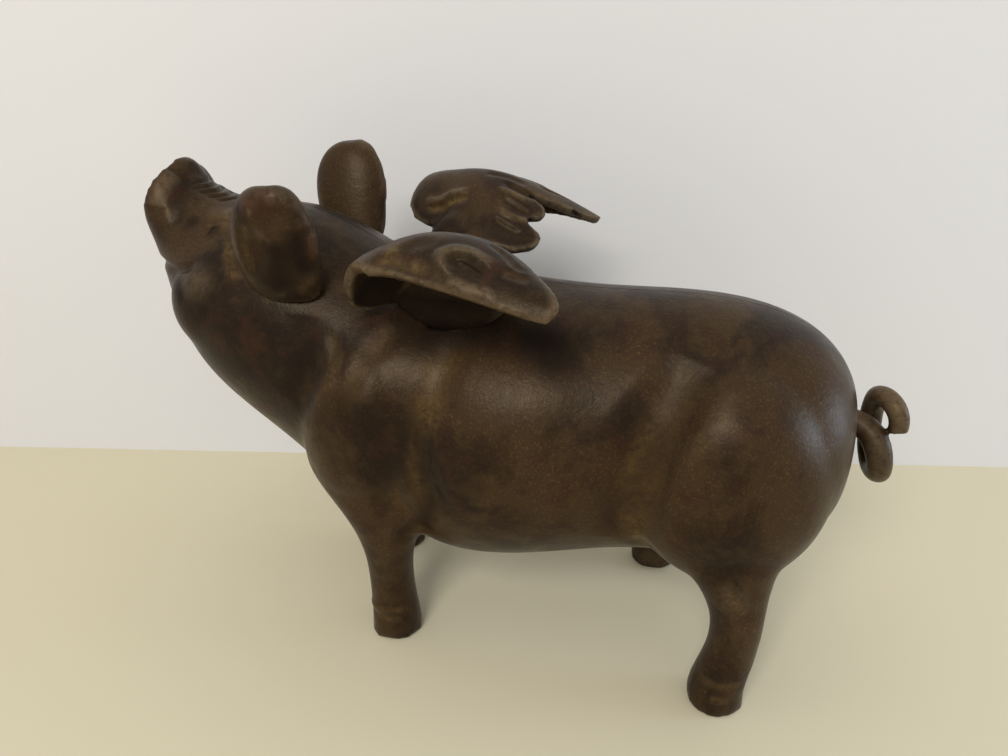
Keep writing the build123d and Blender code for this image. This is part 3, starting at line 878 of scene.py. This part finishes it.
class PIG_OT_tail(bpy.types.Operator):
    """Cast the corkscrew tail"""

    bl_idname = "pig.tail"
    bl_label = "Tail"

    def execute(self, context):
        sizes = context.scene.pig_sizes
        piece = cast_from("cast_tail", ["tail"])
        lay_in_grain(piece, sizes.detail_grain, 6)
        clay = Clay(piece)
        clay.mark_relief(sizes.detail_grain)
        clay.write()
        hand_over(piece, "tail")
        return {"FINISHED"}


class PIG_OT_fixings(bpy.types.Operator):
    """Give the screws and washers their plating"""

    bl_idname = "pig.fixings"
    bl_label = "Screws and washers"

    def execute(self, context):
        plating = zinc()
        for name in ("body_screws", "wing_screws", "wing_washers", "ear_screws", "ear_washers"):
            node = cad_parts[name]
            node.data.materials.clear()
            node.data.materials.append(plating)
        return {"FINISHED"}


# Stage, in metres and degrees
STAGE_SIZE = 6
WALL_PLACE = (0.0, 0.125, 0)
WALL_TURN = (90, 0, 10.5)
WORLD_STRENGTH = 0.6
# Name, place, aim, size, colour and power of each lamp
LAMPS = [
    ("ceiling", (-0.1, -0.1, 1.3), (0, 0, 0.08), 1.5, (1, 0.98, 0.96), 1.5),
    ("window", (-0.12, -1.05, 0.85), (0, 0, 0.1), 0.42, (1, 0.96, 0.90), 9.5),
    ("skylight", (1.1, 0.12, 0.25), (0.1, 0, 0.1), 0.4, (0.62, 0.78, 1), 4),
]
CAMERA_PLACE = (0.0578, -0.257, 0.205)
CAMERA_TURN = (68, 0, 13)
CAMERA_LENS = 27.04
SENSOR_WIDTH = 36


class PIG_OT_stage(bpy.types.Operator):
    """Set the table, the wall, the lamps and the camera"""

    bl_idname = "pig.stage"
    bl_label = "Stage"

    def execute(self, context):
        colours = context.scene.pig_colours
        deselect_all()
        bpy.ops.mesh.primitive_plane_add(size=STAGE_SIZE, location=(0, 0, 0))
        table = bpy.context.object
        table.name = "table"
        bpy.ops.mesh.primitive_plane_add(size=STAGE_SIZE, location=WALL_PLACE,
                                         rotation=[math.radians(turn) for turn in WALL_TURN])
        wall = bpy.context.object
        wall.name = "wall"
        for piece, colour in ((table, colours.table), (wall, colours.wall)):
            material, surface, add, links = shader(piece.name)
            surface.inputs["Base Color"].default_value = (*colour, 1)
            surface.inputs["Roughness"].default_value = 0.7
            if piece == wall:
                # Clear from behind, so that it hides the figure from no side
                either = add("ShaderNodeMixShader",
                             Fac=add("ShaderNodeNewGeometry").outputs["Backfacing"])
                output = material.node_tree.nodes["Material Output"]
                links.new(surface.outputs["BSDF"], either.inputs[1])
                links.new(add("ShaderNodeBsdfTransparent").outputs["BSDF"], either.inputs[2])
                links.new(either.outputs["Shader"], output.inputs["Surface"])
            piece.data.materials.append(material)

        world = context.scene.world or bpy.data.worlds.new("studio")
        context.scene.world = world
        world.use_nodes = True
        background = world.node_tree.nodes["Background"]
        background.inputs["Color"].default_value = (1, 1, 1, 1)
        background.inputs["Strength"].default_value = WORLD_STRENGTH

        for name, place, aim, size, colour, power in LAMPS:
            lamp = bpy.data.objects.new(name, bpy.data.lights.new(name, "AREA"))
            lamp.data.size = size
            lamp.data.color = colour
            lamp.data.energy = power
            lamp.location = place
            lamp.rotation_euler = (Vector(aim) - Vector(place)).to_track_quat("-Z", "Y").to_euler()
            context.scene.collection.objects.link(lamp)

        camera = bpy.data.objects.new("camera", bpy.data.cameras.new("camera"))
        camera.location = CAMERA_PLACE
        camera.rotation_euler = [math.radians(turn) for turn in CAMERA_TURN]
        camera.data.sensor_width = SENSOR_WIDTH
        camera.data.lens = CAMERA_LENS
        camera.data.clip_start = 0.01
        context.scene.collection.objects.link(camera)
        context.scene.camera = camera
        context.scene.view_settings.view_transform = "Standard"
        return {"FINISHED"}


class PIG_PT_panel(bpy.types.Panel):
    """Lists the figure's pieces in the sidebar"""

    bl_idname = "PIG_PT_panel"
    bl_label = "Winged Pig"
    bl_space_type = "VIEW_3D"
    bl_region_type = "UI"
    bl_category = "Pig"

    def draw(self, context):
        for operator in OPERATORS:
            self.layout.operator(operator.bl_idname)
        for group in (context.scene.pig_sizes, context.scene.pig_colours):
            for name in group.__annotations__:
                self.layout.prop(group, name)


OPERATORS = (PIG_OT_stage, PIG_OT_body, PIG_OT_ears, PIG_OT_wings, PIG_OT_tail, PIG_OT_fixings)
CLASSES = (PigSizes, PigColours, *OPERATORS, PIG_PT_panel)


def register():
    for made in CLASSES:
        bpy.utils.register_class(made)
    bpy.types.Scene.pig_sizes = bpy.props.PointerProperty(type=PigSizes)
    bpy.types.Scene.pig_colours = bpy.props.PointerProperty(type=PigColours)


def unregister():
    del bpy.types.Scene.pig_colours
    del bpy.types.Scene.pig_sizes
    for made in reversed(CLASSES):
        bpy.utils.unregister_class(made)


def main():
    """Build the stage and the pieces in order."""
    register()
    bpy.ops.pig.stage()
    bpy.ops.pig.body()
    bpy.ops.pig.ears()
    bpy.ops.pig.wings()
    bpy.ops.pig.tail()
    bpy.ops.pig.fixings()


if __name__ == "__main__":
    main()
